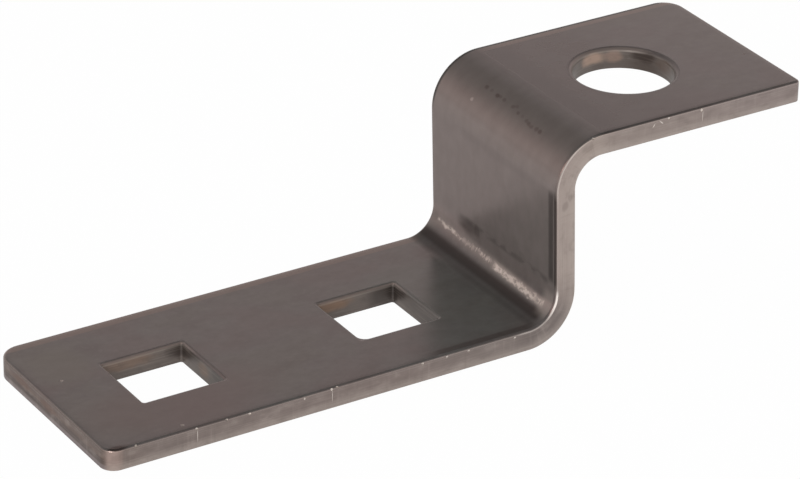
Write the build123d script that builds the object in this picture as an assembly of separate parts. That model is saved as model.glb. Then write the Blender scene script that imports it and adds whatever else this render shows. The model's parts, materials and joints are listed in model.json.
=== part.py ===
from build123d import *
from math import radians, tan
import os

# Stepped bracket folded from one flat strip, in millimetres.
# The long leg lies on the ground plane, the web stands up from it, and the
# raised leg runs on from the top of the web, parallel to the long leg.
# The free end of the long leg points to -X, and the front edge to -Y.

# Strip
strip_width = 30.0
strip_thickness = 3.0

# Free corners. The two at the back are alike.
back_corner_radius = 3.0
long_leg_front_corner_radius = 2.0
raised_leg_front_corner_radius = 0.8

# Folds. The web is placed by its open face, half way up.
overall_length = 104.2
overall_height = 28.9
web_from_end = 65.9
fold_past_square = 2.3
inside_bend_radius = 4.0
outside_bend_radius = inside_bend_radius + strip_thickness

# Square holes, in the long leg. They are a little longer than they are wide.
square_hole_length = 11.8
square_hole_width = 11.2
first_square_from_end = 15.9
square_pitch = 32.1
square_corner_radius = 0.3
blunt_corner_radius = 1.2

# Round hole, in the raised leg. It is placed from the web's open face.
round_hole_diameter = 13.5
round_hole_from_web = 19.8

# All three holes sit in one row, this far from the strip's middle towards the front edge
row_off_middle = 0.6

# Rims. The open side is rolled over by the punch, and most of all round the round hole.
open_rim_radius = 0.4
round_hole_rim_radius = 0.7
underside_rim_radius = 0.1

# How far a cutter runs past each face of the strip
cutter_overrun = 1.0

# An edge lies on one side of the strip when it is nearer to it than this
on_side_within = 0.01


def web_face_x(height):
    """X of the web's open face at a height: past square, it leans back over the long leg."""
    return web_from_end - (height - overall_height / 2) * tan(radians(fold_past_square))


def open_side_line():
    """The open side seen from the strip's edge: leg, bend, web, bend, leg."""
    return FilletPolyline(
        (0, strip_thickness),
        (web_face_x(strip_thickness), strip_thickness),
        (web_face_x(overall_height), overall_height),
        (overall_length, overall_height),
        radius=[inside_bend_radius, outside_bend_radius],
    )


def rim_edges(strip, side_line):
    """Edges all round one side of the strip, whose line seen from the edge is given.

    Left out are the lines where a flat runs into a bend, because the surface is smooth
    across them.
    """
    side = Shell.extrude(Plane.XZ * side_line, (0, strip_width, 0))
    on_side = strip.edges().filter_by(lambda edge: side.distance_to(edge @ 0.5) < on_side_within)
    straight_across = on_side.filter_by(Axis.Y).sort_by(Axis.X)
    return on_side - straight_across[1:-1]


def folded_strip():
    """The strip at one thickness all along, with its two folds, rounded corners and rims."""
    open_side = open_side_line()
    profile = make_face(offset(open_side, strip_thickness, side=Side.RIGHT).edges())
    underside = offset(open_side, strip_thickness, side=Side.RIGHT, closed=False).wire()
    strip = extrude(Plane.XZ * profile, -strip_width)
    for corner, radius in (
        ((0, 0, 0), long_leg_front_corner_radius),
        ((0, strip_width, 0), back_corner_radius),
        ((overall_length, 0, overall_height), raised_leg_front_corner_radius),
        ((overall_length, strip_width, overall_height), back_corner_radius),
    ):
        upright = strip.edges().filter_by(Axis.Z).sort_by_distance(corner)[0]
        strip = fillet(upright, radius)
    strip = fillet(rim_edges(strip, open_side), open_rim_radius)
    return fillet(rim_edges(strip, underside), underside_rim_radius)


def square_outline(front_left_radius):
    """A square hole's outline, whose corner at -X, -Y has a radius of its own."""

    def from_front_left(corner):
        return corner.X + corner.Y

    outline = Rectangle(square_hole_length, square_hole_width)
    other_corners = outline.vertices().sort_by(from_front_left)[1:]
    outline = fillet(other_corners, square_corner_radius)
    front_left = outline.vertices().sort_by(from_front_left)[0]
    return fillet(front_left, front_left_radius)


def hole_cutter(outline, from_end, upper_face_height):
    """A straight cutter through one leg, on the row of holes."""
    row = strip_width / 2 - row_off_middle
    bottom = upper_face_height - strip_thickness - cutter_overrun
    depth = strip_thickness + 2 * cutter_overrun
    return Pos(from_end, row, bottom) * extrude(outline, depth)


def cut_holes(strip):
    """Two square holes and one round hole, with both rims of each rounded."""
    second_square_from_end = first_square_from_end + square_pitch
    round_hole_from_end = web_from_end + round_hole_from_web
    holed = strip - [
        hole_cutter(square_outline(square_corner_radius), first_square_from_end, strip_thickness),
        hole_cutter(square_outline(blunt_corner_radius), second_square_from_end, strip_thickness),
        hole_cutter(Circle(round_hole_diameter / 2), round_hole_from_end, overall_height),
    ]
    # The flats from the ground up: under the long leg, over it, under the raised leg, over it
    flat_radii = [underside_rim_radius, open_rim_radius, underside_rim_radius, round_hole_rim_radius]
    for flat, radius in enumerate(flat_radii):
        face = holed.faces().filter_by(Axis.Z).sort_by(Axis.Z)[flat]
        holed = fillet(face.inner_wires().edges(), radius)
    return holed


bracket = Pos(-overall_length / 2, -strip_width / 2, 0) * cut_holes(folded_strip())
bracket.label = "bracket"

os.makedirs("parts", exist_ok=True)
export_step(bracket, "parts/bracket.step")
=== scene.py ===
"""Looks of the stepped connection bracket: one strip of bare rolled steel, folded twice.

The strip is modelled as it is made. An open face is drawn and spun round two bend axes,
given its thickness, deburred, pierced with two square holes and one round hole, and nicked
by handling. Lengths are in metres, except for the strip's own coordinates: along, across
and under its open face. Those are kept on the mesh in millimetres, so that every finish
follows the folds.
"""
import json
import logging
import math
from contextlib import contextmanager
from dataclasses import dataclass, field
from enum import Enum, IntEnum
from typing import Any, Callable, ClassVar, Iterator, Optional, Sequence

import bmesh
import bpy
from mathutils import Matrix, Vector


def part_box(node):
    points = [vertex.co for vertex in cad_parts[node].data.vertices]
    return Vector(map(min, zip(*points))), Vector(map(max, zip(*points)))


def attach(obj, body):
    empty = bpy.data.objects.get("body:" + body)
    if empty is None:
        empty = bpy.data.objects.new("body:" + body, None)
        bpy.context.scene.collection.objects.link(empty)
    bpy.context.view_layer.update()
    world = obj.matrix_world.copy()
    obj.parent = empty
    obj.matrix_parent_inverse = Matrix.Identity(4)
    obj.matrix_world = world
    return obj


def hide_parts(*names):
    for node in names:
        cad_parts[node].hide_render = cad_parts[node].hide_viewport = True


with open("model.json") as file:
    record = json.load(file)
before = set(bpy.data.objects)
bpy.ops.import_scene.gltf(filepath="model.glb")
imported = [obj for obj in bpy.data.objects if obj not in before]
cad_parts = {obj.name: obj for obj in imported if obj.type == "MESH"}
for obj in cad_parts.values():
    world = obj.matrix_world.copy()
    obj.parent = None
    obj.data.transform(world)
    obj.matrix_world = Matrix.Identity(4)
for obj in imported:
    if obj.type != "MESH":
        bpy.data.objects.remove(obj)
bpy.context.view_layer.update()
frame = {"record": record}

MM = 0.001
NEAR = 1e-6  # metres: places nearer than this are one place
FAR = 1000.0  # past every coordinate, so that it leaves one end of a span open
STRIP_ATTRIBUTE = "strip_mm"
WHITE = "#FFFFFF"

Triple = tuple[float, float, float]
Span = Triple  # the lower limit, the upper limit, and the width over which each end fades
Stops = tuple[tuple[float, float], ...]
Tones = tuple[tuple[float, str], ...]
OPEN_SIDE: Span = (-FAR, 1.5, 0.2)  # mm under the open face, down to half the sheet's thickness
INSIDE_PATCH: Span = (-FAR, 0.7, 0.6)  # distance from a patch's middle, as a share of its reach

log = logging.getLogger("bracket")


class Zone(IntEnum):
    """Material slots of the bracket, one for each way its surface was made."""

    ROLLED = 0
    CUT = 1
    EDGE = 2
    HOLE = 3
    NICK = 4


class Element(Enum):
    """What a selection in edit mode is made of."""

    VERTEX = "VERT"
    EDGE = "EDGE"


def mount(name: str) -> dict[str, Any]:
    """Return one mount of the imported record.

    Args:
        name: The mount's name.

    Returns:
        The mount, as the record states it.
    """
    return next(entry for entry in frame["record"]["mounts"] if entry["name"] == name)


@dataclass(frozen=True)
class Bend:
    """One bend of the open face: an arc between two straight stretches, seen along Y."""

    start: Vector
    end: Vector
    centre: Vector
    radius: float
    turn: float
    axis: Vector


@dataclass
class StripForm:
    """Sizes of the folded strip, in metres, from the frame and a few bench sizes."""

    thickness: float = field(default_factory=lambda: mount("long_leg_top")["pos_m"][2])
    past_square: float = math.radians(2.3)
    web_from_end: float = 65.9 * MM
    inside_bend_radius: float = 4.0 * MM
    back_corner_radius: float = 3.0 * MM
    long_leg_front_corner_radius: float = 2.0 * MM
    raised_leg_front_corner_radius: float = 0.8 * MM
    square_length: float = 11.8 * MM
    square_width: float = 11.2 * MM
    low: Vector = field(default_factory=lambda: Vector(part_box("bracket")[0]))
    high: Vector = field(default_factory=lambda: Vector(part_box("bracket")[1]))

    def __post_init__(self) -> None:
        """Work out the two bends of the open face."""
        lean = self.past_square
        self.turn = math.pi / 2 + lean
        self.web_up = Vector((-math.sin(lean), 0, math.cos(lean)))
        self.web_inward = Vector((math.cos(lean), 0, math.sin(lean)))
        lower_corner = Vector((self.web_x(self.thickness), 0, self.thickness))
        upper_corner = Vector((self.web_x(self.high.z), 0, self.high.z))
        along = Vector((1, 0, 0))
        outside_radius = self.inside_bend_radius + self.thickness
        lower_reach = self.inside_bend_radius * math.tan(self.turn / 2)
        upper_reach = outside_radius * math.tan(self.turn / 2)
        lower_start = lower_corner - along * lower_reach
        upper_end = upper_corner + along * upper_reach
        self.lower = Bend(
            start=lower_start,
            end=lower_corner + self.web_up * lower_reach,
            centre=lower_start + Vector((0, 0, self.inside_bend_radius)),
            radius=self.inside_bend_radius,
            turn=self.turn,
            axis=Vector((0, 1, 0)),
        )
        self.upper = Bend(
            start=upper_corner - self.web_up * upper_reach,
            end=upper_end,
            centre=upper_end - Vector((0, 0, outside_radius)),
            radius=outside_radius,
            turn=self.turn,
            axis=Vector((0, -1, 0)),
        )
        self.at_lower_bend = self.lower.start.x - self.low.x
        self.at_web = self.at_lower_bend + self.lower.radius * self.turn
        self.at_upper_bend = self.at_web + (self.upper.start - self.lower.end).length
        self.at_raised_leg = self.at_upper_bend + self.upper.radius * self.turn

    def web_x(self, height: float) -> float:
        """Return the X of the web's open face at a height.

        Args:
            height: Height above the ground plane.

        Returns:
            X, in the frame.
        """
        middle = self.low.x + self.web_from_end
        return middle - (height - self.high.z / 2) * math.tan(self.past_square)

    def unfold(self, point: Vector) -> tuple[float, float, float]:
        """Turn a place on the bracket into the flat strip's own coordinates.

        Args:
            point: A point in or on the strip.

        Returns:
            How far it lies along the open face, across the strip, and under the open face.
        """
        flat = Vector((point.x, 0, point.z))
        if point.x < self.lower.start.x and point.z < self.high.z / 2:
            return point.x - self.low.x, point.y, self.thickness - point.z
        if (flat - self.lower.end).dot(self.web_up) < 0:
            arm = flat - self.lower.centre
            along = self.at_lower_bend + self.lower.radius * math.atan2(arm.x, -arm.z)
            return along, point.y, arm.length - self.lower.radius
        if (flat - self.upper.start).dot(self.web_up) < 0:
            arm = flat - self.lower.end
            return self.at_web + arm.dot(self.web_up), point.y, arm.dot(self.web_inward)
        if point.x < self.upper.end.x:
            arm = flat - self.upper.centre
            along = self.at_raised_leg + self.upper.radius * math.atan2(arm.x, arm.z)
            return along, point.y, self.upper.radius - arm.length
        return self.at_raised_leg + point.x - self.upper.end.x, point.y, self.high.z - point.z

    def fold(self, along: float, across: float, under: float) -> Vector:
        """Turn flat strip coordinates into a place on the bracket: unfold's inverse.

        Args:
            along: Distance along the open face from the long leg's free end.
            across: Y, from the strip's middle.
            under: Depth under the open face.

        Returns:
            The place in the frame.
        """
        if along < self.at_lower_bend:
            return Vector((self.low.x + along, across, self.thickness - under))
        if along < self.at_web:
            angle = (along - self.at_lower_bend) / self.lower.radius
            arm = Vector((math.sin(angle), 0, -math.cos(angle)))
            place = self.lower.centre + arm * (self.lower.radius + under)
        elif along < self.at_upper_bend:
            place = self.lower.end + self.web_up * (along - self.at_web) + self.web_inward * under
        elif along < self.at_raised_leg:
            angle = (along - self.at_raised_leg) / self.upper.radius
            arm = Vector((math.sin(angle), 0, math.cos(angle)))
            place = self.upper.centre + arm * (self.upper.radius - under)
        else:
            place = Vector((self.upper.end.x + along - self.at_raised_leg, 0, self.high.z - under))
        return Vector((place.x, across, place.z))


@contextmanager
def editing(piece: bpy.types.Object) -> Iterator[None]:
    """Keep one object in edit mode for the length of a with block.

    Args:
        piece: The object to edit.

    Yields:
        Nothing.
    """
    bpy.context.view_layer.objects.active = piece
    bpy.ops.object.mode_set(mode="EDIT")
    yield
    bpy.ops.object.mode_set(mode="OBJECT")


def pick(piece: bpy.types.Object, element: Element, wanted: Callable[[Any], bool]) -> None:
    """Select elements in edit mode by a test, and nothing else.

    Args:
        piece: The object in edit mode.
        element: What to select.
        wanted: A test of one bmesh element.
    """
    bpy.ops.mesh.select_mode(type=element.value)
    bpy.ops.mesh.select_all(action="DESELECT")
    mesh = bmesh.from_edit_mesh(piece.data)
    for item in mesh.verts if element is Element.VERTEX else mesh.edges:
        if wanted(item):
            item.select = True
    mesh.select_flush_mode()
    bmesh.update_edit_mesh(piece.data)


def apply_modifier(piece: bpy.types.Object, kind: str, **settings: Any) -> None:
    """Add a modifier, set it up and apply it.

    Args:
        piece: The object to change.
        kind: Blender's name for the kind of modifier.
        **settings: Its settings by name.
    """
    modifier = piece.modifiers.new(kind.lower(), kind)
    for name, value in settings.items():
        setattr(modifier, name, value)
    bpy.context.view_layer.objects.active = piece
    bpy.ops.object.modifier_apply(modifier=modifier.name)


def primitive(
    operator: Callable[..., Any], scale: Sequence[float] = (1.0, 1.0, 1.0), lean: float = 0.0, **settings: Any
) -> bpy.types.Object:
    """Add a primitive with nothing else selected, and move its place, lean and scale into its mesh.

    Args:
        operator: Blender's operator that adds it.
        scale: Its scale along each axis.
        lean: Its turn about Y, in radians.
        **settings: The operator's settings by name.

    Returns:
        The object.
    """
    bpy.ops.object.select_all(action="DESELECT")
    operator(**settings)
    piece = bpy.context.object
    piece.scale = scale
    piece.rotation_euler = (0, lean, 0)
    bpy.ops.object.transform_apply(location=True, rotation=True, scale=True)
    return piece


@dataclass(frozen=True)
class Nick:
    """A small knock or scratch, in the strip's own millimetres: on the near wall by default."""

    along: float
    under: float
    across: float = -15.0
    length: float = 0.45
    breadth: float = 0.45
    lean_deg: float = 0.0


@dataclass(frozen=True)
class Rounding:
    """How an edge is rounded, and in how many steps."""

    radius: float
    steps: int


@dataclass
class Bracket:
    """The folded strip, as one closed mesh with a material slot for each kind of surface."""

    form: StripForm
    bend_steps: int = 28
    corner_steps: int = 14
    open_rim: Rounding = Rounding(radius=0.4 * MM, steps=8)
    round_hole_rim: Rounding = Rounding(radius=0.7 * MM, steps=10)
    underside_rim: Rounding = Rounding(radius=0.1 * MM, steps=3)
    square_corner: Rounding = Rounding(radius=0.3 * MM, steps=6)
    outer_front_left: Rounding = Rounding(radius=0.3 * MM, steps=8)
    inner_front_left: Rounding = Rounding(radius=1.2 * MM, steps=8)
    round_hole_sides: int = 144
    sharp_angle: float = math.radians(50)
    smooth_angle: float = math.radians(32)
    nick_depth: float = 0.6  # share of a nick's smaller side
    nicks: tuple[Nick, ...] = (
        Nick(along=4.1, under=0.15),
        Nick(along=12.7, under=0.25),
        Nick(along=12.8, under=1.3, length=2.0, breadth=0.1),
        Nick(along=17.0, under=0.2, length=0.35),
        Nick(along=20.3, under=0.3, length=0.4),
        Nick(along=28.3, under=0.45, length=0.35, breadth=0.3),
        Nick(along=32.3, under=0.25, length=0.5),
        Nick(along=33.1, under=0.15, length=0.4),
        Nick(along=32.4, under=1.2, length=1.8, breadth=0.1),
        Nick(along=45.9, under=0.35, length=0.4),
        Nick(along=49.6, under=0.4, length=0.35),
        Nick(along=52.9, under=0.45, length=0.4),
        Nick(along=60.0, under=0.5, length=0.35),
        Nick(along=92.8, under=0.2, length=0.4),
        Nick(along=102.3, under=0.9, length=0.9, breadth=0.16, lean_deg=35.0),
        Nick(along=103.5, under=0.6, length=0.9, breadth=0.16, lean_deg=-50.0),
        Nick(along=104.7, under=0.35, length=0.45),
        Nick(along=109.9, under=0.4, length=0.5),
        Nick(along=110.1, under=1.3, length=1.7, breadth=0.1),
        Nick(along=3.6, under=0.0, across=3.7, length=0.35, breadth=0.4),
        Nick(along=11.4, under=0.0, across=-13.6, length=0.3, breadth=0.35),
    )

    def build(self) -> bpy.types.Object:
        """Model the whole bracket.

        Returns:
            The finished object, at the origin, with its strip coordinates on the mesh.
        """
        piece = self.open_face()
        self.fold(piece)
        self.round_ends(piece)
        apply_modifier(
            piece,
            "SOLIDIFY",
            thickness=self.form.thickness,
            offset=-1.0,
            use_even_offset=True,
            use_quality_normals=True,
            material_offset_rim=int(Zone.CUT),
        )
        self.round_rims(piece, self.open_rim, Zone.EDGE)
        self.cut(piece, self.square_cutter("square_hole_outer", self.outer_front_left), Zone.HOLE)
        self.cut(piece, self.square_cutter("square_hole_inner", self.inner_front_left), Zone.HOLE)
        self.round_rims(piece, self.open_rim, Zone.HOLE)
        self.cut(piece, self.round_cutter(), Zone.HOLE)
        self.round_rims(piece, self.round_hole_rim, Zone.HOLE)
        for nick in self.nicks:
            self.cut(piece, self.nick_cutter(nick), Zone.NICK)
        self.smooth(piece)
        self.keep_strip_coordinates(piece)
        return piece

    def open_face(self) -> bpy.types.Object:
        """Draw the long leg's open face, from its free end to the first bend.

        Returns:
            A flat sheet with all the bracket's material slots.
        """
        form = self.form
        piece = primitive(
            bpy.ops.mesh.primitive_plane_add,
            scale=(form.lower.start.x - form.low.x, form.high.y - form.low.y, 1),
            size=1.0,
            location=((form.low.x + form.lower.start.x) / 2, 0, form.thickness),
        )
        piece.name = "bracket_steel"
        for zone in Zone:
            piece.data.materials.append(bpy.data.materials.new(f"slot_{zone.name.lower()}"))
        return piece

    def fold(self, piece: bpy.types.Object) -> None:
        """Spin the sheet's free edge round both bends, with the web and the raised leg between.

        Args:
            piece: The flat sheet.
        """
        lower, upper = self.form.lower, self.form.upper
        web = upper.start - lower.end
        raised_leg = Vector((self.form.high.x - upper.end.x, 0, 0))
        with editing(piece):
            for bend, straight in ((lower, web), (upper, raised_leg)):
                pick(piece, Element.EDGE, lambda edge: all(self.over(vert.co, bend.start) for vert in edge.verts))
                bpy.ops.mesh.spin(steps=self.bend_steps, angle=bend.turn, center=bend.centre, axis=bend.axis)
                pick(piece, Element.EDGE, lambda edge: all(self.over(vert.co, bend.end) for vert in edge.verts))
                bpy.ops.mesh.extrude_region_move(TRANSFORM_OT_translate={"value": straight})

    @staticmethod
    def over(point: Vector, place: Vector) -> bool:
        """Tell whether two points coincide when seen along Y."""
        return (point.xz - place.xz).length < NEAR

    def round_ends(self, piece: bpy.types.Object) -> None:
        """Round the four free corners, then point the open face up.

        Args:
            piece: The folded sheet.
        """
        form = self.form
        corners = (
            (Vector((form.low.x, form.low.y)), form.long_leg_front_corner_radius),
            (Vector((form.low.x, form.high.y)), form.back_corner_radius),
            (Vector((form.high.x, form.low.y)), form.raised_leg_front_corner_radius),
            (Vector((form.high.x, form.high.y)), form.back_corner_radius),
        )
        with editing(piece):
            for corner, radius in corners:
                pick(piece, Element.VERTEX, lambda vert: (vert.co.xy - corner).length < NEAR)
                bpy.ops.mesh.bevel(offset=radius, segments=self.corner_steps, affect="VERTICES")
            bpy.ops.mesh.select_all(action="SELECT")
            bpy.ops.mesh.normals_make_consistent(inside=False)
            leg = max(bmesh.from_edit_mesh(piece.data).faces, key=lambda face: face.calc_area())
            if leg.normal.z < 0:
                bpy.ops.mesh.flip_normals()

    def round_rims(self, piece: bpy.types.Object, open_rim: Rounding, zone: Zone) -> None:
        """Round every edge that is still sharp: the open side's rims widely, the others slightly.

        Args:
            piece: The bracket.
            open_rim: Rounding of the rims on the open side.
            zone: Material slot of the roundings.
        """
        middle = self.form.thickness / 2

        def on_open_side(edge: bmesh.types.BMEdge) -> bool:
            """Tell whether an edge lies nearer to the open face than to the underside."""
            return self.form.unfold((edge.verts[0].co + edge.verts[1].co) / 2)[2] < middle

        with editing(piece):
            for open_side, rim in ((True, open_rim), (False, self.underside_rim)):
                pick(piece, Element.EDGE, lambda edge: self.is_sharp(edge) and on_open_side(edge) is open_side)
                bpy.ops.mesh.bevel(offset=rim.radius, segments=rim.steps, material=int(zone))

    def is_sharp(self, edge: bmesh.types.BMEdge) -> bool:
        """Tell whether two faces meet at an edge far more sharply than a rounding's steps do."""
        return edge.calc_face_angle(0.0) > self.sharp_angle

    def square_cutter(self, hole: str, front_left_corner: Rounding) -> bpy.types.Object:
        """Model the prism that a square hole leaves room for.

        Args:
            hole: Name of the hole's mount, which gives its middle.
            front_left_corner: Rounding of the corner at -X, -Y.

        Returns:
            The cutter.
        """
        form = self.form
        centre = Vector(mount(hole)["pos_m"])
        size = (form.square_length, form.square_width, 2 * form.thickness)
        cutter = primitive(bpy.ops.mesh.primitive_cube_add, scale=size, size=1.0, location=centre)

        def upright(edge: bmesh.types.BMEdge) -> bool:
            """Tell whether an edge runs through the strip."""
            return abs(edge.verts[0].co.z - edge.verts[1].co.z) > form.thickness

        def front_left(edge: bmesh.types.BMEdge) -> bool:
            """Tell whether an edge is the upright one at -X, -Y."""
            return upright(edge) and all(v.co.x < centre.x and v.co.y < centre.y for v in edge.verts)

        with editing(cutter):
            pick(cutter, Element.EDGE, front_left)
            bpy.ops.mesh.bevel(offset=front_left_corner.radius, segments=front_left_corner.steps)
            pick(cutter, Element.EDGE, lambda edge: upright(edge) and self.is_sharp(edge))
            bpy.ops.mesh.bevel(offset=self.square_corner.radius, segments=self.square_corner.steps)
        return cutter

    def round_cutter(self) -> bpy.types.Object:
        """Model the cylinder that the round hole leaves room for.

        Returns:
            The cutter.
        """
        hole = mount("round_hole")
        return primitive(
            bpy.ops.mesh.primitive_cylinder_add,
            vertices=self.round_hole_sides,
            radius=hole["dims"]["r_mm"] * MM,
            depth=2 * self.form.thickness,
            location=hole["pos_m"],
        )

    def nick_cutter(self, nick: Nick) -> bpy.types.Object:
        """Model the small faceted tool that a nick is the print of.

        Args:
            nick: Where the nick is, and its size.

        Returns:
            The cutter.
        """
        across = nick.across * MM + self.rim_inset(nick.under * MM)
        depth = min(nick.length, nick.breadth) * self.nick_depth
        return primitive(
            bpy.ops.mesh.primitive_ico_sphere_add,
            scale=(nick.breadth * MM, depth * MM, nick.length * MM),
            lean=math.radians(nick.lean_deg),
            subdivisions=1,
            radius=0.5,
            location=self.form.fold(nick.along * MM, across, nick.under * MM),
        )

    def rim_inset(self, under: float) -> float:
        """Work out how far the open side's rounded rim stands back from the wall at a depth.

        Args:
            under: Depth under the open face.

        Returns:
            The distance; 0 on the open face itself, and below the rim.
        """
        radius = self.open_rim.radius
        left = radius - under
        return radius - math.sqrt(radius**2 - left**2) if 0.0 < left < radius else 0.0

    @staticmethod
    def cut(piece: bpy.types.Object, cutter: bpy.types.Object, zone: Zone) -> None:
        """Take a cutter out of the bracket, and remove it.

        Args:
            piece: The bracket.
            cutter: A closed shape.
            zone: Material slot of the faces that it leaves.
        """
        cutter.data.materials.append(piece.data.materials[zone])
        apply_modifier(
            piece, "BOOLEAN", operation="DIFFERENCE", object=cutter, solver="EXACT", material_mode="TRANSFER"
        )
        bpy.data.objects.remove(cutter)

    def smooth(self, piece: bpy.types.Object) -> None:
        """Shade bends and roundings smooth, and keep the flats flat to the eye.

        Args:
            piece: The bracket.
        """
        bpy.ops.object.select_all(action="DESELECT")
        piece.select_set(True)
        bpy.context.view_layer.objects.active = piece
        bpy.ops.object.shade_smooth_by_angle(angle=self.smooth_angle)
        apply_modifier(piece, "WEIGHTED_NORMAL", keep_sharp=True, weight=100)

    def keep_strip_coordinates(self, piece: bpy.types.Object) -> None:
        """Write each point's place on the flat strip to the mesh, in millimetres.

        Args:
            piece: The bracket.
        """
        mesh = piece.data
        attribute = mesh.attributes.new(STRIP_ATTRIBUTE, "FLOAT_VECTOR", "POINT")
        for vertex, value in zip(mesh.vertices, attribute.data):
            value.vector = Vector(self.form.unfold(vertex.co)) / MM


def linear(code: str) -> tuple[float, float, float, float]:
    """Turn an sRGB hex colour into the linear colour that Blender's sockets take.

    Args:
        code: Six hex digits after a hash sign.

    Returns:
        Linear red, green and blue, and an alpha of 1.
    """
    shares = [int(code[place:place + 2], 16) / 255 for place in (1, 3, 5)]
    red, green, blue = (v / 12.92 if v <= 0.04045 else ((v + 0.055) / 1.055) ** 2.4 for v in shares)
    return red, green, blue, 1.0


def open_socket(sockets: Any, key: int | str) -> bpy.types.NodeSocket:
    """Find a socket among those that a node shows with its present settings.

    Args:
        sockets: A node's inputs or outputs.
        key: The socket's place among them, or its name.

    Returns:
        The socket.
    """
    shown = [socket for socket in sockets if socket.enabled]
    return shown[key] if isinstance(key, int) else next(s for s in shown if s.name == key)


def add_node(
    tree: bpy.types.NodeTree, kind: str, *values: Any, named: Optional[dict[str, Any]] = None, **settings: Any
) -> bpy.types.Node:
    """Add a node with its settings, and fill its inputs with values or links.

    Args:
        tree: The node tree.
        kind: Blender's name for the kind of node.
        *values: What goes into the first inputs, in order: a value, a node or a socket.
        named: What goes into other inputs, by name.
        **settings: The node's own settings.

    Returns:
        The node.
    """
    node = tree.nodes.new(kind)
    for name, value in settings.items():
        setattr(node, name, value)
    for key, value in [*enumerate(values), *(named or {}).items()]:
        socket = open_socket(node.inputs, key)
        if isinstance(value, bpy.types.Node):
            tree.links.new(open_socket(value.outputs, 0), socket)
        elif isinstance(value, bpy.types.NodeSocket):
            tree.links.new(value, socket)
        else:
            socket.default_value = value
    return node


def piecewise(tree: bpy.types.NodeTree, value: Any, stops: Sequence[tuple[float, float]]) -> Any:
    """Make a number that changes along a value through a few stops, in straight lines.

    Args:
        tree: The node tree.
        value: The value, as a node or socket.
        stops: Values and the numbers there, in rising order.

    Returns:
        The node that gives the number.
    """
    level: Any = stops[0][1]
    for (start, _), (end, number) in zip(stops, stops[1:]):
        share = add_node(tree, "ShaderNodeMapRange", value, start, end, 0.0, 1.0)
        level = add_node(tree, "ShaderNodeMix", share, level, number)
    return level


@dataclass(frozen=True)
class Noise:
    """Noise whose features have a size in millimetres along, across and under the face.

    Higher detail adds finer noise, and shift moves the pattern, so that two of them differ.
    """

    size: Triple
    detail: float = 2.0
    shift: float = 0.0


@dataclass(frozen=True)
class Layer:
    """A colour that is laid over others, how strongly, and the spans in which it lies.

    The spans along, across and under the face are in millimetres. Level is a span of the noise.
    """

    colour: str
    strength: float
    along: Optional[Span] = None
    across: Optional[Span] = None
    under: Optional[Span] = None
    noise: Optional[Noise] = None
    level: Optional[Span] = None


@dataclass(frozen=True)
class Patch:
    """A soft-edged spot of another colour: its middle and reach along, across and under, in mm."""

    middle: Triple
    reach: Triple
    colour: str
    strength: float


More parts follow.
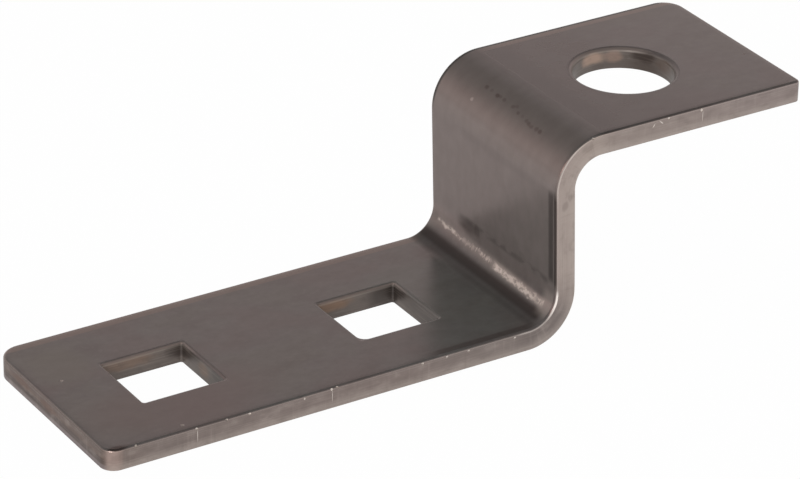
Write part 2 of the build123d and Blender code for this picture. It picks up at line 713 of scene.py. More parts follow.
class Coat:
    """The node tree of one finish, with the strip's coordinates at hand."""

    wobble: ClassVar[Noise] = Noise((1.6, 1.6, 1.6), detail=3.0)

    def __init__(self, material: bpy.types.Material) -> None:
        """Clear the material's tree and read the strip coordinates.

        Args:
            material: The material to dress.
        """
        material.use_nodes = True
        self.tree = material.node_tree
        self.tree.nodes.clear()
        self.noises: dict[Noise, bpy.types.Node] = {}
        self.strip = self.add("ShaderNodeAttribute", attribute_name=STRIP_ATTRIBUTE).outputs["Vector"]
        self.along, self.across, self.under = self.add("ShaderNodeSeparateXYZ", self.strip).outputs

    def add(self, kind: str, *values: Any, **settings: Any) -> bpy.types.Node:
        """Add a node to this finish: see add_node."""
        return add_node(self.tree, kind, *values, **settings)

    def within(self, value: Any, low: float, high: float, softness: float) -> bpy.types.Node:
        """Make a mask that is 1 while a value lies between two limits.

        Args:
            value: The value, as a node or socket.
            low: Lower limit, where the mask is one half.
            high: Upper limit, where it is one half again; FAR leaves that end open.
            softness: Width over which each end fades.

        Returns:
            The node that gives the mask.
        """
        offset = self.add("ShaderNodeMath", value, (low + high) / 2, operation="SUBTRACT")
        distance = self.add("ShaderNodeMath", offset, operation="ABSOLUTE")
        reach = (high - low) / 2
        inner, outer = reach - softness / 2, reach + softness / 2
        return self.add("ShaderNodeMapRange", distance, inner, outer, 1.0, 0.0, interpolation_type="SMOOTHSTEP")

    def grain(self, noise: Noise) -> bpy.types.Node:
        """Find or make the node that gives a noise.

        Args:
            noise: The noise.

        Returns:
            Its node.
        """
        if noise not in self.noises:
            scale, shift = tuple(1 / size for size in noise.size), (noise.shift,) * 3
            stretched = self.add("ShaderNodeVectorMath", self.strip, scale, shift, operation="MULTIPLY_ADD")
            self.noises[noise] = self.add("ShaderNodeTexNoise", stretched, 1.0, noise.detail)
        return self.noises[noise]

    def masks(self, layer: Layer, along: Any = None) -> list[bpy.types.Node]:
        """Make a mask of each span that a layer has.

        Args:
            layer: The layer.
            along: What its span along the strip is read on, if not on the strip itself.

        Returns:
            The nodes that give the masks.
        """
        spans = (
            (self.along if along is None else along, layer.along),
            (self.across, layer.across),
            (self.under, layer.under),
            (layer.noise and self.grain(layer.noise), layer.level),
        )
        return [self.within(value, *span) for value, span in spans if span]

    def blend(self, colour: Any, over: Any, *masks: Any) -> bpy.types.Node:
        """Lay one colour over another where several masks meet.

        Args:
            colour: The colour so far.
            over: The colour on top, as a hex code, node or socket.
            *masks: Masks and strengths, which are multiplied.

        Returns:
            The node that gives the mixed colour.
        """
        share = masks[0]
        for mask in masks[1:]:
            share = self.add("ShaderNodeMath", share, mask, operation="MULTIPLY")
        top = linear(over) if isinstance(over, str) else over
        return self.add("ShaderNodeMix", share, colour, top, data_type="RGBA")

    def lay(self, colour: Any, layers: Sequence[Layer], *limits: Any, along: Any = None) -> Any:
        """Lay a few layers over a colour, in order.

        Args:
            colour: The colour so far.
            layers: The layers.
            *limits: Masks that limit all of them.
            along: What their spans along the strip are read on, if not on the strip itself.

        Returns:
            The colour with the layers on it.
        """
        for layer in layers:
            colour = self.blend(colour, layer.colour, *self.masks(layer, along), *limits, layer.strength)
        return colour

    def spots(self, colour: Any, patches: Sequence[Patch], waver: float) -> Any:
        """Lay a few patches over a colour, with uneven outlines.

        Args:
            colour: The colour so far.
            patches: The patches.
            waver: How far noise moves their outlines, in millimetres.

        Returns:
            The colour with the patches on it.
        """
        noise = self.grain(self.wobble).outputs["Color"]
        centred = self.add("ShaderNodeVectorMath", noise, (0.5,) * 3, operation="SUBTRACT")
        place = self.add("ShaderNodeVectorMath", centred, (2 * waver,) * 3, self.strip, operation="MULTIPLY_ADD")
        for patch in patches:
            scale = tuple(1 / reach for reach in patch.reach)
            offset = self.add("ShaderNodeVectorMath", place, patch.middle, operation="SUBTRACT")
            scaled = self.add("ShaderNodeVectorMath", offset, scale, operation="MULTIPLY")
            distance = self.add("ShaderNodeVectorMath", scaled, operation="LENGTH")
            colour = self.blend(colour, patch.colour, self.within(distance, *INSIDE_PATCH), patch.strength)
        return colour

    def profile(self, value: Any, tones: Tones) -> Any:
        """Make a colour that changes along a value through a few stops.

        Args:
            value: The value, as a node or socket.
            tones: Values and the colours there, in rising order.

        Returns:
            The colour.
        """
        colour: Any = linear(tones[0][1])
        for (start, _), (end, code) in zip(tones, tones[1:]):
            colour = self.blend(colour, code, self.within(value, (start + end) / 2, FAR, end - start))
        return colour

    def finish(self, **sockets: Any) -> None:
        """Feed the shader and the material's output.

        Args:
            **sockets: What goes into the shader, by socket name with underscores for spaces.
        """
        named = {name.replace("_", " "): value for name, value in sockets.items()}
        shader = self.add("ShaderNodeBsdfPrincipled", named=named)
        self.add("ShaderNodeOutputMaterial", shader)


class Finish:
    """A way in which a part of the surface was made."""

    name: ClassVar[str]

    def dress(self, material: bpy.types.Material) -> None:
        """Turn an empty material into this finish.

        Args:
            material: The material.
        """
        material.name = self.name
        self.build(Coat(material))

    def build(self, coat: Coat) -> None:
        """Lay out the finish's nodes.

        Args:
            coat: The material's node tree.
        """
        raise NotImplementedError


@dataclass(frozen=True)
class RolledSteel(Finish):
    """Hot-rolled mild steel, pickled and oiled: the strip's two wide faces.

    A thin dull oxide film gives a flat brown-grey body under a weak, warm and fairly sharp
    sheen, so the web shows as a dark reflection in the long leg. The folding tools have left
    scuffed strokes in the inner bend and a row of pits in the outer. Light and shade are also
    painted on: a band of painted shade in the inner bend, the strokes painted bright as its
    highlight, painted shade along the near and back edges, and lighter and darker tones
    along the web and the raised leg.
    """

    form: StripForm
    name = "pickled_hot_rolled_steel"
    colour: str = "#555655"
    mottle_dark: str = "#4E4F4E"
    edge_line: str = "#393735"
    # Painted shade: the dark band in the inner bend, and the dark lines along the near edges
    crushed: str = "#1E201F"
    # Rubbed marks painted bright as the inner bend's highlight, and painted light at its near end
    rubbed: str = "#C8BCB2"
    broad: Noise = Noise((9.0, 6.0, 6.0), detail=3.0)
    fine: Noise = Noise((0.9, 0.7, 0.8), detail=3.0, shift=7.3)
    tinge: Noise = Noise((12.0, 9.0, 6.0), shift=3.1)
    body: tuple[Layer, ...] = (
        Layer(mottle_dark, 0.8, noise=broad, level=(-FAR, 0.43, 0.18)),
        Layer("#5D5D5B", 0.5, noise=fine, level=(0.61, FAR, 0.22)),  # light flecks
        Layer(mottle_dark, 0.5, noise=fine, level=(-FAR, 0.39, 0.18)),
        Layer("#595A52", 0.25, noise=tinge, level=(0.54, FAR, 0.2)),  # greenish
        Layer("#58514F", 0.45, noise=tinge, level=(-FAR, 0.46, 0.2)),  # mauve
        # Painted reflection: greener where the long leg mirrors the web
        Layer("#555D5A", 0.45, along=(50.0, 63.5, 5.0), across=(-14.0, 8.0, 4.0)),  # where it mirrors the web
    )
    # Painted light and shade: the web is painted lighter than the legs, and the upper bend darker over its middle
    web: Span = (68.0, 93.8, 1.6)
    web_strength: float = 0.92
    web_tones: Tones = (
        (83.0, "#6A6360"), (84.2, "#6B6663"), (85.2, "#6B6764"), (86.2, "#605D5A"), (88.0, "#595653"),
        (89.8, "#54524F"), (91.4, "#54524F"), (92.8, "#5A5856"),
    )
    # Painted shade over the raised leg, darkest where it leaves the upper bend
    stretched_tone: str = "#3C3D3C"
    cloudy: Noise = Noise((3.0, 2.0, 2.0), detail=3.0, shift=12.1)
    clouds: tuple[float, float, float, float] = (0.3, 0.7, 0.92, 1.08)  # from noise to brightness
    upright: Span = (63.0, 95.0, 4.0)  # the web and both bends
    back_band: Layer = Layer("#76665D", 0.5, across=(13.4, 14.6, 0.4), under=OPEN_SIDE)
    # Painted shade: a dark line along the back edge of the upper bend and the raised leg, where the sheen is also
    # turned down
    dull_line: Layer = Layer(edge_line, 0.85, along=(84.0, FAR, 3.0), across=(14.3, FAR, 0.3))
    dull_sheen: float = 0.15
    sheen_tint: str = "#FBBCAE"
    sheen: Stops = (
        (62.6, 0.97), (63.6, 0.6), (65.2, 0.5), (66.9, 0.97), (68.0, 0.97), (69.5, 0.46), (83.0, 0.48),
        (85.0, 0.9), (86.5, 0.9), (88.5, 0.97), (93.4, 0.97), (94.6, 0.88), (96.6, 0.88), (99.0, 0.97),
    )
    # How strongly that painted shade lies along the strip
    stretched: Stops = (
        (93.2, 0.0), (94.8, 1.0), (96.5, 0.95), (99.5, 0.72), (106.0, 0.7), (110.0, 0.5), (116.0, 0.35),
    )
    # Tool marks, and painted shade in the inner bend and along the near edges
    folding_marks: tuple[Layer, ...] = (
        # Painted shade: the band in the inner bend, and its darkest part
        Layer(crushed, 0.5, along=(62.8, 65.5, 1.2), across=(-13.7, FAR, 1.4)),  # band in the inner bend
        Layer(crushed, 0.8, along=(64.0, 65.4, 0.8), across=(-13.7, FAR, 1.4)),  # its darkest part
        # Painted shade: dark lines along the web's and the leg's near edges
        Layer(crushed, 0.65, along=(70.2, 83.2, 1.5), across=(-14.4, -13.3, 0.6)),  # by the web's near edge
        Layer(crushed, 0.5, along=(48.0, 63.5, 3.0), across=(-14.6, -13.5, 0.5)),  # by the leg's near edge
        Layer(
            edge_line,
            0.4,
            along=(69.5, 70.3, 0.7),
            across=(-13.0, 8.0, 1.0),
            noise=Noise((1.2, 2.4, 1.0), detail=3.0, shift=8.8),
            level=(0.45, FAR, 0.2),
        ),  # crease at the foot of the web
        Layer(edge_line, 0.12, along=(82.3, 83.5, 0.9), across=(-9.0, 8.0, 4.0)),  # and a faint one at its top
    )
    slant: float = -0.028
    # Painted highlight: soft bright bands across the inner bend
    rub: tuple[Layer, ...] = (
        Layer(rubbed, 0.08, along=(66.3, 67.4, 0.9), across=(-13.2, 13.2, 1.0)),
        Layer(rubbed, 0.15, along=(66.0, 67.3, 0.6), across=(-12.8, -0.8, 1.2)),
    )
    lit_end: Layer = Layer(rubbed, 0.2, along=(65.0, 68.4, 1.4), across=(-14.9, -12.5, 1.6))
    wavy: Noise = Noise((2.0, 1.3, 1.0))
    streaks: Noise = Noise((0.4, 0.7, 0.5), detail=4.0, shift=5.7)
    ticks: Noise = Noise((1.0, 0.32, 0.5), shift=2.6)
    # Each row of scuffed strokes, painted bright as the inner bend's highlight, and its level across the strip:
    # broad, thin, and short ticks over both
    strokes: tuple[tuple[Layer, Stops], ...] = (
        (
            Layer(rubbed, 1.0, along=(66.7, 67.5, 0.35), noise=streaks, level=(0.46, FAR, 0.3)),
            ((-13.2, 0.0), (-12.6, 0.25), (-11.3, 0.25), (-10.7, 0.7), (-4.0, 0.7), (-1.6, 0.85), (-0.9, 0.0)),
        ),
        (
            Layer(rubbed, 1.0, along=(67.05, 67.45, 0.35), noise=streaks, level=(0.46, FAR, 0.3)),
            ((-0.9, 0.0), (0.0, 0.2), (6.5, 0.25), (8.0, 0.65), (12.8, 0.65), (13.3, 0.0)),
        ),
        (
            Layer(rubbed, 1.0, along=(66.9, 67.6, 0.35), noise=ticks, level=(0.56, FAR, 0.12)),
            (
                (-13.2, 0.0), (-12.8, 0.6), (-11.4, 0.6), (-10.8, 0.2), (-1.0, 0.2), (-0.4, 0.0), (0.4, 0.45),
                (4.6, 0.45), (6.0, 0.1), (13.0, 0.1), (13.3, 0.0),
            ),
        ),
    )
    metal: float = 0.1
    roughness: float = 0.26
    turn_down: float = 1.2
    turn_down_depth: float = 0.03 * MM
    texture: Noise = Noise((0.5, 0.35, 0.4), shift=1.9)  # coarser than the real grain, so that it shows
    texture_depth: float = 0.003 * MM
    marks: tuple[Patch, ...] = (
        Patch((69.3, 6.2, 0.0), (1.5, 2.8, 1.0), "#3A3634", 0.5),
        Patch((69.3, 3.9, 0.0), (1.2, 1.0, 1.0), "#302C2A", 0.45),
        Patch((70.7, -7.0, 0.0), (0.8, 1.2, 1.0), "#3A3735", 0.12),
        Patch((69.6, -12.6, 0.0), (0.7, 1.0, 1.0), "#3A3735", 0.15),
        Patch((106.0, 8.0, 0.0), (3.0, 2.2, 1.0), "#3F3D3C", 0.35),
        Patch((124.3, -4.65, 0.0), (0.35, 0.35, 1.0), "#3A3735", 0.8),
        Patch((87.7, 7.05, 0.0), (0.4, 0.4, 1.0), "#8F8782", 0.6),
        Patch((3.6, 3.7, 0.0), (0.3, 0.3, 1.0), "#A39A94", 0.8),
        Patch((11.4, -13.6, 0.0), (0.3, 0.3, 1.0), "#A39A94", 0.7),
    )
    leg_patches: tuple[Patch, ...] = (
        Patch((14.0, -8.0, 0.0), (17.0, 9.0, 1.0), "#594F4D", 0.55),
        Patch((5.0, 7.0, 0.0), (6.0, 6.0, 1.0), "#5A5B53", 0.5),
        Patch((1.3, -14.7, 0.0), (2.2, 0.9, 1.0), "#232120", 0.85),
    )
    pits: tuple[Triple, ...] = (
        (90.1, 6.1, 0.55), (90.1, 5.0, 0.25), (90.0, 3.5, 0.7), (90.1, 2.9, 0.4), (90.0, 1.9, 0.4), (89.9, -0.4, 0.4),
        (90.2, -0.9, 0.3), (89.7, -1.9, 0.45), (89.6, -3.0, 0.2), (89.4, -4.2, 0.4), (89.3, -4.9, 0.5),
        (89.2, -5.6, 0.4), (89.3, -6.6, 0.45), (89.2, -7.5, 0.6),
    )
    pit_colour: str = "#2C2826"
    least_pit: Triple = (0.25, 0.35, 1.0)
    pit_growth: Triple = (0.3, 0.4, 0.0)

    @staticmethod
    def past_sides(coat: Coat, centre: Triple, half_sides: Triple) -> tuple[bpy.types.Node, bpy.types.Node]:
        """Work out how far a point of the face is past the sides of a rectangle on it.

        Args:
            coat: The material's node tree.
            centre: The rectangle's middle, in strip coordinates.
            half_sides: Half its length and half its width.

        Returns:
            The nodes that give the distance past each pair of sides, and the distance away.
        """
        offset = coat.add("ShaderNodeVectorMath", coat.strip, centre, operation="SUBTRACT")
        flat = coat.add("ShaderNodeVectorMath", offset, (1.0, 1.0, 0.0), operation="MULTIPLY")
        mirrored = coat.add("ShaderNodeVectorMath", flat, operation="ABSOLUTE")
        past = coat.add("ShaderNodeVectorMath", mirrored, half_sides, operation="SUBTRACT")
        outward = coat.add("ShaderNodeVectorMath", past, (0.0,) * 3, operation="MAXIMUM")
        return past, coat.add("ShaderNodeVectorMath", outward, operation="LENGTH")

    def edge_distance(self, coat: Coat) -> bpy.types.Node:
        """Work out how far a point of the face is from the nearest edge, in millimetres.

        Square holes turn the face down over half the width, so the distance to them counts twice.

        Args:
            coat: The material's node tree.

        Returns:
            The node that gives the distance, inside the metal.
        """
        form = self.form
        half_length = (form.at_raised_leg + form.high.x - form.upper.end.x) / 2 / MM
        half_width = form.high.y / MM
        radius = form.back_corner_radius / MM
        inner = (half_length - radius, half_width - radius, 0.0)
        past, corner = self.past_sides(coat, (half_length, 0.0, 0.0), inner)
        past_x, past_y, _ = coat.add("ShaderNodeSeparateXYZ", past).outputs
        deepest = coat.add("ShaderNodeMath", past_x, past_y, operation="MAXIMUM")
        inward = coat.add("ShaderNodeMath", deepest, 0.0, operation="MINIMUM")
        total = coat.add("ShaderNodeMath", corner, inward, operation="ADD")
        nearest = coat.add("ShaderNodeMath", radius, total, operation="SUBTRACT")
        square = (form.square_length / 2 / MM, form.square_width / 2 / MM, 0.0)
        for hole in ("square_hole_outer", "square_hole_inner"):
            along, across, _ = form.unfold(Vector(mount(hole)["pos_m"]))
            _, away = self.past_sides(coat, (along / MM, across / MM, 0.0), square)
            doubled = coat.add("ShaderNodeMath", away, 2.0, operation="MULTIPLY")
            nearest = coat.add("ShaderNodeMath", nearest, doubled, operation="MINIMUM")
        return nearest

    def skin(self, coat: Coat) -> bpy.types.Node:
        """Lay out the body colour, with the light, shade and reflection painted along the strip, which the
        rolled-over rims share.

        Args:
            coat: A material's node tree.

        Returns:
            The node that gives the colour.
        """
        colour = coat.lay(linear(self.colour), self.body)
        web = coat.within(coat.along, *self.web)
        colour = coat.blend(colour, coat.profile(coat.along, self.web_tones), web, self.web_strength)
        # Painted shade over the raised leg, next to the upper bend
        colour = coat.blend(colour, self.stretched_tone, piecewise(coat.tree, coat.along, self.stretched))
        clouds = coat.add("ShaderNodeMapRange", coat.grain(self.cloudy), *self.clouds)
        colour = coat.add("ShaderNodeVectorMath", colour, named={"Scale": clouds}, operation="SCALE")
        on_legs = coat.add("ShaderNodeMath", 1.0, coat.within(coat.along, *self.upright), operation="SUBTRACT")
        colour = coat.lay(colour, (self.back_band,), on_legs)
        colour = coat.lay(colour, (self.dull_line,))
        return coat.spots(colour, self.leg_patches, waver=0.2)

    def gloss(self, coat: Coat) -> bpy.types.Node:
        """Give the level of the sheen, which is low along the painted dark line at the back edge.

        Args:
            coat: A material's node tree.

        Returns:
            The node that gives the level.
        """
        line = coat.add("ShaderNodeMath", *coat.masks(self.dull_line), operation="MULTIPLY")
        dulled = coat.add("ShaderNodeMapRange", line, 0.0, 1.0, 1.0, self.dull_sheen)
        level = piecewise(coat.tree, coat.along, self.sheen)
        return coat.add("ShaderNodeMath", level, dulled, operation="MULTIPLY")

    def colours(self, coat: Coat, open_side: bpy.types.Node) -> bpy.types.Node:
        """Lay the marks of folding and handling, and painted shade and highlights, over the body colour.

        Args:
            coat: The material's node tree.
            open_side: A mask of the open face, where those marks are.

        Returns:
            The node that gives the colour.
        """
        colour = coat.lay(self.skin(coat), self.folding_marks, open_side)
        colour = coat.spots(colour, self.marks, waver=0.35)
        pits = []
        for along, across, strength in self.pits:
            reach = tuple(least + more * strength for least, more in zip(self.least_pit, self.pit_growth))
            pits.append(Patch((along, across, 0.0), reach, self.pit_colour, strength))
        colour = coat.spots(colour, pits, waver=0.3)
        slanted = coat.add("ShaderNodeMath", coat.across, self.slant, coat.along, operation="MULTIPLY_ADD")
        colour = coat.lay(colour, self.rub, open_side, along=slanted)
        colour = coat.lay(colour, (self.lit_end,), open_side)
        wavy = coat.add("ShaderNodeMath", coat.grain(self.wavy), slanted, operation="ADD")
        for strokes, across in self.strokes:
            level = piecewise(coat.tree, coat.across, across)
            colour = coat.lay(colour, (strokes,), level, open_side, along=wavy)
        return colour

    def build(self, coat: Coat) -> None:
        """Lay out the rolled finish.

        Args:
            coat: The material's node tree.
        """
        open_side = coat.within(coat.under, *OPEN_SIDE)
        near_edge = coat.within(self.edge_distance(coat), -FAR, self.turn_down / 2, self.turn_down)
        shape = coat.add("ShaderNodeMath", near_edge, 2.0, operation="POWER")
        turned = coat.add("ShaderNodeMath", shape, open_side, operation="MULTIPLY")
        lowered = coat.add("ShaderNodeMath", turned, -1.0, operation="MULTIPLY")
        down = coat.add("ShaderNodeBump", 1.0, self.turn_down_depth, named={"Height": lowered})
        heights = {"Height": coat.grain(self.texture), "Normal": down}
        coat.finish(
            Base_Color=self.colours(coat, open_side),
            Metallic=self.metal,
            Roughness=self.roughness,
            Specular_IOR_Level=self.gloss(coat),
            Specular_Tint=linear(self.sheen_tint),
            Normal=coat.add("ShaderNodeBump", 1.0, self.texture_depth, named=heights),
        )


@dataclass(frozen=True)
class CutWall(Finish):
    """Mild steel sheared through its thickness: the strip's outline walls.

    Paler and duller than the rolled faces, with fine lines along the strip, and faint marks
    straight down from the punch.
    """

    name = "sheared_mild_steel"
    metal: float = 0.85
    roughness: float = 0.42
    # Tones along the strip, as painted light and shade: darker along the long leg, lighter along the web, and a
    # painted highlight at the long leg's near corner
    along_strip: Tones = (
        (1.4, "#A18D85"), (1.9, "#95837B"), (2.5, "#80736D"), (8.0, "#827671"), (40.0, "#857873"),
        (58.0, "#867B76"), (63.0, "#7C726E"), (66.0, "#7F7571"), (68.5, "#998C86"), (72.0, "#A89A93"),
        (88.0, "#A99B94"), (92.0, "#A79991"), (98.0, "#978A84"), (126.0, "#918480"),
    )
    end: Span = (-FAR, 0.32, 0.6)
    end_wall: Tones = ((0.3, "#6D5F59"), (1.3, "#6A5951"), (1.7, "#5C4F4A"), (2.1, "#5C4F4A"), (2.5, "#807473"))
    stains: tuple[Patch, ...] = (
        Patch((0.0, 7.5, 1.0), (2.0, 3.2, 0.8), "#694F43", 0.55),
        Patch((0.0, 0.5, 1.2), (2.0, 3.0, 0.8), "#694F43", 0.55),
        Patch((0.0, 6.0, 1.9), (2.0, 5.0, 0.3), "#4C3F3A", 0.6),
        Patch((81.3, -15.0, 1.5), (0.9, 1.0, 0.6), "#6F6560", 0.32),
        Patch((82.3, -15.0, 2.2), (0.8, 1.0, 0.5), "#6F6560", 0.28),
    )
    pale: str = "#B8ACA4"
    dark: str = "#665C57"
    lower_part: Layer = Layer(pale, 0.42, under=(2.2, FAR, 1.4))
    lines: Noise = Noise((14.0, 14.0, 0.16))  # coarser than the real lines, so that they show
    marks: Noise = Noise((0.45, 0.45, 8.0), shift=2.2)
    patchy: Noise = Noise((2.2, 2.2, 1.2), detail=3.0, shift=4.4)
    shearing_marks: tuple[Layer, ...] = (
        Layer(pale, 0.18, noise=lines, level=(0.62, FAR, 0.25)),
        Layer(dark, 0.15, noise=lines, level=(-FAR, 0.38, 0.25)),
        Layer(pale, 0.12, noise=marks, level=(0.66, FAR, 0.17)),
        Layer(dark, 0.12, noise=marks, level=(-FAR, 0.34, 0.17)),
        Layer(dark, 0.22, noise=patchy, level=(-FAR, 0.4, 0.2)),
        Layer(pale, 0.18, noise=patchy, level=(0.6, FAR, 0.2)),
    )
    relief: float = 0.004 * MM

    def tone(self, coat: Coat) -> bpy.types.Node:
        """Lay out the broad colours, with light and shade painted along the strip, which the burnished part of a rim
        shares.

        Args:
            coat: A material's node tree.

        Returns:
            The node that gives the colour.
        """
        colour = coat.lay(coat.profile(coat.along, self.along_strip), (self.lower_part,))
        return coat.blend(colour, coat.profile(coat.under, self.end_wall), coat.within(coat.along, *self.end))

    def build(self, coat: Coat) -> None:
        """Lay out the sheared finish.

        Args:
            coat: The material's node tree.
        """
        colour = coat.lay(self.tone(coat), self.shearing_marks)
        height = coat.add("ShaderNodeMath", coat.grain(self.lines), coat.grain(self.marks), operation="ADD")
        coat.finish(
            Base_Color=coat.spots(colour, self.stains, waver=0.5),
            Metallic=self.metal,
            Roughness=self.roughness,
            Normal=coat.add("ShaderNodeBump", 1.0, self.relief, named={"Height": height}),
        )


@dataclass(frozen=True)
class RolledOverRim(Finish):
    """Mild steel rolled over by shearing: the rounding between a rolled face and a cut wall.

    The oxide film goes on over most of it and draws a dark line where it mirrors the dim
    ceiling, and along the web's near edge it is painted darker, as painted shade. Below, the
    blade has burnished it bright, and where the near edge turns up into the web it is painted
    near white as a highlight, more faintly along the near rims of both bends.
    """

    rolled: RolledSteel
    cut: CutWall
    name = "burnished_mild_steel_rim"
    # Painted highlight: near white over the burnished rim where the glint lies
    polished: str = "#FFF4EC"
    near_side: Span = (-FAR, -13.0, 1.0)
    glint: Stops = (
        (60.0, 0.0), (61.5, 0.2), (64.8, 0.2), (66.0, 0.6), (67.0, 1.0), (68.3, 1.0), (69.2, 0.15), (70.2, 0.05),
        (81.0, 0.05), (83.5, 0.2), (89.5, 0.2), (92.0, 0.0),
    )
    # How much higher the bare band reaches under the painted highlight
    wear: float = 0.06
    bare_depth: Span = (0.2, FAR, 0.12)
    # Painted shade over the rim along the web's near edge
    dark_web: Layer = Layer("#1E201F", 0.8, along=(69.5, 83.0, 2.0))
    roughness: float = 0.25

    def build(self, coat: Coat) -> None:
        """Lay out the rolled-over finish.

        Args:
            coat: The material's node tree.
        """
        near_side = coat.within(coat.across, *self.near_side)
        glint_along = piecewise(coat.tree, coat.along, self.glint)
        glint = coat.add("ShaderNodeMath", glint_along, near_side, operation="MULTIPLY")
        worn_depth = coat.add("ShaderNodeMath", glint, self.wear, coat.under, operation="MULTIPLY_ADD")
        bare = coat.within(worn_depth, *self.bare_depth)
        # Burnished metal, painted near white where the highlight lies
        burnished = coat.blend(self.cut.tone(coat), self.polished, glint)
        film = coat.lay(self.rolled.skin(coat), (self.dark_web,))
        coat.finish(
            Base_Color=coat.blend(film, burnished, bare),
            Metallic=coat.add("ShaderNodeMapRange", bare, 0.0, 1.0, self.rolled.metal, self.cut.metal),
            Roughness=self.roughness,
            Specular_IOR_Level=self.rolled.gloss(coat),
            Specular_Tint=coat.blend(linear(self.rolled.sheen_tint), WHITE, bare),
        )


@dataclass(frozen=True)
class HoleWall(Finish):
    """Mild steel pierced hot and fast: the walls of the three holes, and their rims.

    The oxide film rolls in over the rim. Below it, heat has tinted the wall tan, brown and
    dark in patches, with fine lines round the hole.
    """

    rolled: RolledSteel
    name = "heat_tinted_mild_steel"
    colour: str = "#6A605A"
    metal: float = 0.3
    roughness: float = 0.42
    tints: tuple[Patch, ...] = (
        Patch((21.8, -1.5, 1.0), (1.5, 6.5, 2.8), "#4F4640", 0.55),
        Patch((53.9, -1.5, 1.0), (1.5, 6.5, 2.8), "#4F4640", 0.55),
        Patch((13.5, 5.0, 0.9), (5.5, 1.5, 1.3), "#7B6455", 0.7),
        Patch((21.3, 5.0, 0.9), (2.6, 1.5, 1.7), "#4A403C", 0.85),
        Patch((21.8, 4.0, 0.6), (1.5, 3.2, 1.5), "#453C37", 0.9),
        Patch((21.8, 1.2, 0.3), (1.5, 1.4, 0.9), "#453C37", 0.7),
        Patch((21.8, -0.6, 1.5), (1.5, 1.8, 1.4), "#725C4C", 0.7),
        Patch((21.8, -4.0, 0.8), (1.5, 1.8, 1.2), "#4A423D", 0.9),
        Patch((44.0, 5.0, 0.9), (4.5, 1.5, 1.3), "#7F634E", 0.8),
        Patch((53.0, 5.0, 1.2), (4.2, 1.5, 3.4), "#453D39", 0.85),
        Patch((53.9, 4.2, 0.7), (1.5, 3.0, 1.6), "#3A322E", 0.9),
        Patch((53.9, -2.2, 1.0), (1.5, 4.6, 1.6), "#4F4641", 0.75),
        Patch((107.0, 6.4, 1.2), (3.0, 1.5, 1.1), "#B09584", 0.85),
        Patch((110.2, 5.6, 1.2), (1.6, 1.5, 1.1), "#998072", 0.7),
        Patch((113.3, 3.0, 0.8), (2.2, 2.6, 1.3), "#453A35", 0.9),
        Patch((114.2, -0.6, 1.2), (1.4, 2.2, 1.2), "#604F45", 0.75),
    )
    pale: str = "#A3978E"
    dark: str = "#4A423C"
    lines: Noise = Noise((6.0, 6.0, 0.22))  # coarser than the real lines, so that they show
    patchy: Noise = Noise((1.4, 1.4, 0.9), detail=3.0, shift=4.4)
    piercing_marks: tuple[Layer, ...] = (
        Layer(pale, 0.2, noise=lines, level=(0.62, FAR, 0.2)),
        Layer(dark, 0.2, noise=lines, level=(-FAR, 0.38, 0.2)),
        Layer(dark, 0.25, noise=patchy, level=(-FAR, 0.4, 0.2)),
        Layer(pale, 0.35, across=(3.0, FAR, 1.5), under=(0.3, 0.55, 0.2)),  # lip of the back walls
    )
    relief: float = 0.004 * MM
    film_depth: Span = (-FAR, 0.3, 0.2)
    # Painted light: the back rims are painted lighter, against the dark reflection they show
    back_rim: Layer = Layer("#746C67", 0.8, across=(2.5, FAR, 3.0), under=(0.06, FAR, 0.1))
    wall_and_film_sheen: tuple[float, float] = (0.5, 0.9)

    def build(self, coat: Coat) -> None:
        """Lay out the pierced finish.

        Args:
            coat: The material's node tree.
        """
        wall = coat.spots(linear(self.colour), self.tints, waver=0.5)
        wall = coat.lay(wall, self.piercing_marks)
        rim = coat.lay(self.rolled.skin(coat), (self.back_rim,))
        film = coat.within(coat.under, *self.film_depth)
        coat.finish(
            Base_Color=coat.blend(wall, rim, film),
            Metallic=coat.add("ShaderNodeMapRange", film, 0.0, 1.0, self.metal, self.rolled.metal),
            Roughness=self.roughness,
            Specular_IOR_Level=coat.add("ShaderNodeMapRange", film, 0.0, 1.0, *self.wall_and_film_sheen),
            Specular_Tint=coat.blend(linear(WHITE), self.rolled.sheen_tint, film),
            Normal=coat.add("ShaderNodeBump", 1.0, self.relief, named={"Height": coat.grain(self.lines)}),
        )


@dataclass(frozen=True)
class FreshNick(Finish):
    """Mild steel laid bare by a knock: it glints against the darkened faces."""

    name = "knocked_mild_steel"
    colour: str = "#D6CCC4"
    tarnish: Layer = Layer("#A89D95", 1.0, noise=Noise((0.3, 0.3, 0.3)), level=(0.62, FAR, 0.15))
    metal: float = 1.0
    roughness: float = 0.3

    def build(self, coat: Coat) -> None:
        """Lay out the bare metal.

        Args:
            coat: The material's node tree.
        """
        colour = coat.lay(linear(self.colour), (self.tarnish,))
        coat.finish(Base_Color=colour, Metallic=self.metal, Roughness=self.roughness)


@dataclass(frozen=True)
class Lamp:
    """A soft box that faces the bracket: its place, the side of its face and its power."""

    name: str
    place: Triple
    size: float
    watts: float
    mirrored: bool = True


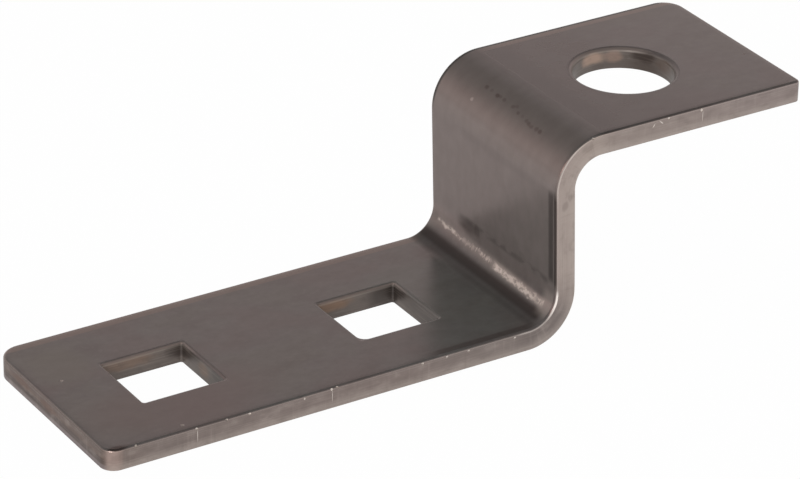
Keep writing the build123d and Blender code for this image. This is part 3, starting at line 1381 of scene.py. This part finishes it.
@dataclass
class Studio:
    """Pale floor, soft lamps, a plain sky and the camera of the photograph."""

    floor_size: float = 8.0
    floor_gap: float = 0.02 * MM
    floor_colour: str = "#F2F2F2"
    floor_glow: tuple[float, float] = (0.7, 0.985)
    sky: Stops = (  # height above the horizon in degrees, and brightness
        (0.0, 1.3), (16.0, 1.2), (25.0, 0.81), (33.0, 0.54), (38.0, 0.42), (45.0, 0.3), (60.0, 0.15), (90.0, 0.1),
    )
    lamps: tuple[Lamp, ...] = (
        Lamp("overhead_box", place=(-0.15, 0.25, 0.95), size=0.8, watts=2.0, mirrored=False),
        Lamp("front_left_box", place=(-0.75, -0.65, 0.32), size=0.35, watts=2.4),
    )
    target: Vector = field(default_factory=lambda: Vector((12.05, 19.69, 0.0)) * MM)
    distance: float = 585.75 * MM
    heading_deg: float = 32.486
    elevation_deg: float = 27.741
    roll_deg: float = 1.139
    focal_length: float = 193.35
    clip_start: float = 10.0 * MM

    def build(self) -> None:
        """Set the whole studio up."""
        self.lay_floor()
        self.light_sky()
        for lamp in self.lamps:
            self.hang(lamp)
        self.place_camera()
        bpy.context.scene.view_settings.view_transform = "Standard"

    def lay_floor(self) -> None:
        """Lay a pale floor that takes the bracket's shadow and stays near white to the eye."""
        plane = bpy.ops.mesh.primitive_plane_add
        floor = primitive(plane, size=self.floor_size, location=(0, 0, -self.floor_gap))
        floor.name = "floor"
        material = bpy.data.materials.new("matt_white_card")
        material.use_nodes = True
        tree = material.node_tree
        tree.nodes.clear()
        card = add_node(tree, "ShaderNodeBsdfDiffuse", linear(self.floor_colour))
        glow = add_node(tree, "ShaderNodeEmission", linear(WHITE), 1.0)
        camera = add_node(tree, "ShaderNodeLightPath").outputs["Is Camera Ray"]
        share = add_node(tree, "ShaderNodeMapRange", camera, 0.0, 1.0, *self.floor_glow)
        add_node(tree, "ShaderNodeOutputMaterial", add_node(tree, "ShaderNodeMixShader", share, card, glow))
        floor.data.materials.append(material)

    def light_sky(self) -> None:
        """Make a sky that is bright at the horizon and dim overhead, and white to the camera."""
        world = bpy.data.worlds.new("soft_studio")
        bpy.context.scene.world = world
        world.use_nodes = True
        tree = world.node_tree
        tree.nodes.clear()
        direction = add_node(tree, "ShaderNodeTexCoord").outputs["Generated"]
        height = add_node(tree, "ShaderNodeSeparateXYZ", direction).outputs["Z"]
        stops = [(math.sin(math.radians(elevation)), level) for elevation, level in self.sky]
        camera = add_node(tree, "ShaderNodeLightPath").outputs["Is Camera Ray"]
        strength = add_node(tree, "ShaderNodeMix", camera, piecewise(tree, height, stops), 1.0)
        background = add_node(tree, "ShaderNodeBackground", linear(WHITE), strength)
        add_node(tree, "ShaderNodeOutputWorld", background)

    @staticmethod
    def hang(lamp: Lamp) -> None:
        """Hang one square lamp.

        Args:
            lamp: The lamp.
        """
        bpy.ops.object.select_all(action="DESELECT")
        bpy.ops.object.light_add(type="AREA", location=lamp.place)
        box = bpy.context.object
        box.name = lamp.name
        box.data.size = lamp.size
        box.data.energy = lamp.watts
        box.rotation_euler = Vector(lamp.place).to_track_quat("Z", "Y").to_euler()
        box.visible_camera = False
        box.visible_glossy = lamp.mirrored

    def place_camera(self) -> None:
        """Place the camera where the photograph was taken from."""
        turn = Matrix.Rotation(math.radians(-self.heading_deg), 4, "Z")
        tilt = Matrix.Rotation(math.radians(90 - self.elevation_deg), 4, "X")
        roll = Matrix.Rotation(math.radians(self.roll_deg), 4, "Z")
        facing = turn @ tilt @ roll
        data = bpy.data.cameras.new("camera")
        data.lens = self.focal_length
        data.clip_start = self.clip_start
        camera = bpy.data.objects.new("camera", data)
        bpy.context.scene.collection.objects.link(camera)
        camera.matrix_world = Matrix.Translation(self.target + facing @ Vector((0, 0, self.distance))) @ facing
        bpy.context.scene.camera = camera


def main() -> None:
    """Build the bracket, dress it and set it in the studio."""
    form = StripForm()
    bracket = Bracket(form).build()
    log.info("%s: %d faces", bracket.name, len(bracket.data.polygons))
    rolled, cut = RolledSteel(form), CutWall()
    finishes: dict[Zone, Finish] = {
        Zone.ROLLED: rolled,
        Zone.CUT: cut,
        Zone.EDGE: RolledOverRim(rolled, cut),
        Zone.HOLE: HoleWall(rolled),
        Zone.NICK: FreshNick(),
    }
    for zone, finish in finishes.items():
        finish.dress(bracket.data.materials[zone])
        log.info("%s: %s", zone.name.lower(), finish.name)
    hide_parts("bracket")
    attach(bracket, "root")
    Studio().build()


if __name__ == "__main__":
    logging.basicConfig(level=logging.INFO, format="%(name)s: %(message)s")
    main()
